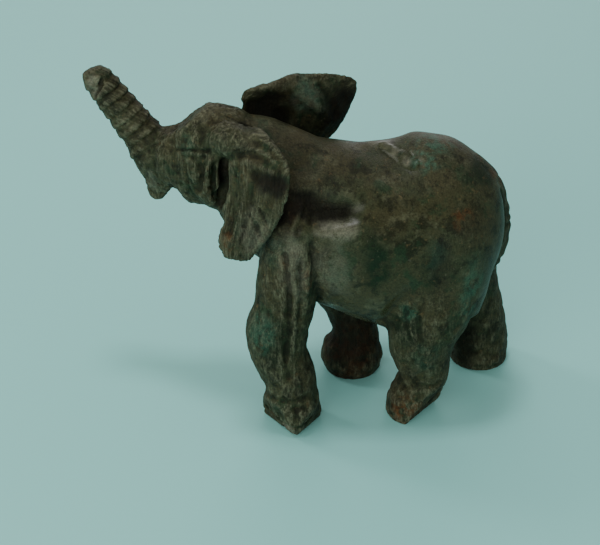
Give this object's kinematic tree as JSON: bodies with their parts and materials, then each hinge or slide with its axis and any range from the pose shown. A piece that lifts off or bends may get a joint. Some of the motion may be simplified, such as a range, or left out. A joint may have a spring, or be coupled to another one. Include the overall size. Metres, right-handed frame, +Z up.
{
  "type": "stone elephant figurine",
  "caption": "Small carved green stone elephant, a standing ornament, in mid stride on flat soles, with its head turned aside, trunk raised and ears spread.",
  "frame": {"origin": "on the surface the feet stand on, under the middle of the bounding box", "axes": "+Z up; the elephant faces -X and its left side is towards -Y, so +X runs from the trunk's tip to the tail"},
  "size_m": [0.1172, 0.0478, 0.093],
  "materials": {
    "elephant": "dark green and brown mottled verdite, polished on the body, left tooled and dusty on head, ears and legs"
  },
  "bodies": {
    "root": {"elephant": "elephant"}
  },
  "joints": []
}
